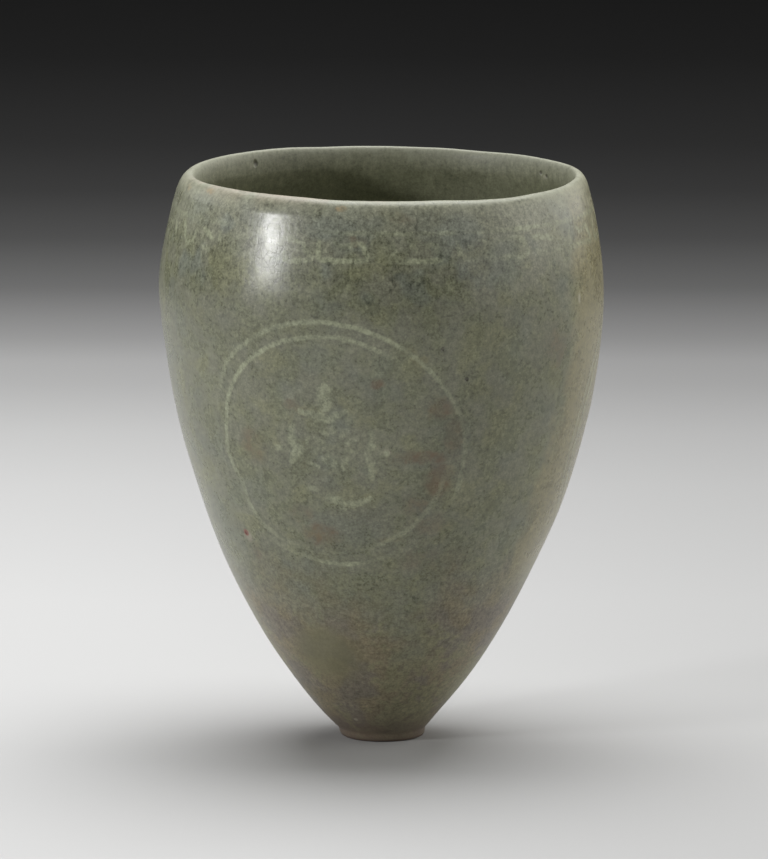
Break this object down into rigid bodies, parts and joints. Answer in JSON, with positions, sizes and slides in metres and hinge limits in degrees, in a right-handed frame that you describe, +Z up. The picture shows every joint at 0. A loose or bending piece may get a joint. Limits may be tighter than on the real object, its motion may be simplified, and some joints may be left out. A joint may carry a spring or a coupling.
{
  "type": "inlaid celadon cup",
  "caption": "Egg-shaped stoneware cup on a tiny flat foot, green glazed, with a fret band below the rim and ringed flowers in inlaid white slip.",
  "frame": {"origin": "centre of the foot's flat resting face", "axes": "+Z up along the axis of the cup; -Y towards the front, where the best kept flower ring lies a little left of centre"},
  "size_m": [0.0944, 0.0944, 0.1216],
  "materials": {
    "celadon_glaze": "grey-green transparent glaze, finely crackled, worn at the lip and foot",
    "white_slip": "white slip inlaid flush and seen through the glaze, worn in places"
  },
  "bodies": {
    "root": {"cup_body": "celadon_glaze", "band_upper_line": "white_slip", "band_fret_01": "white_slip", "band_fret_02": "white_slip", "band_fret_03": "white_slip", "band_fret_04": "white_slip", "band_fret_05": "white_slip", "band_fret_06": "white_slip", "band_fret_07": "white_slip", "band_fret_08": "white_slip", "band_fret_09": "white_slip", "band_fret_10": "white_slip", "band_fret_11": "white_slip", "band_fret_12": "white_slip", "band_fret_13": "white_slip", "band_fret_14": "white_slip", "band_fret_15": "white_slip", "band_fret_16": "white_slip", "band_fret_17": "white_slip", "band_fret_18": "white_slip", "band_fret_19": "white_slip", "band_fret_20": "white_slip", "medallion_1_outer_ring": "white_slip", "medallion_1_inner_ring": "white_slip", "medallion_1_flower_head": "white_slip", "medallion_1_leaf_1": "white_slip", "medallion_1_leaf_2": "white_slip", "medallion_1_leaf_3": "white_slip", "medallion_1_leaf_4": "white_slip", "medallion_2_outer_ring": "white_slip", "medallion_2_inner_ring": "white_slip", "medallion_2_flower_head": "white_slip", "medallion_2_leaf_1": "white_slip", "medallion_2_leaf_2": "white_slip", "medallion_2_leaf_3": "white_slip", "medallion_2_leaf_4": "white_slip", "medallion_3_outer_ring": "white_slip", "medallion_3_inner_ring": "white_slip", "medallion_3_flower_head": "white_slip", "medallion_3_leaf_1": "white_slip", "medallion_3_leaf_2": "white_slip", "medallion_3_leaf_3": "white_slip", "medallion_3_leaf_4": "white_slip"}
  },
  "joints": []
}
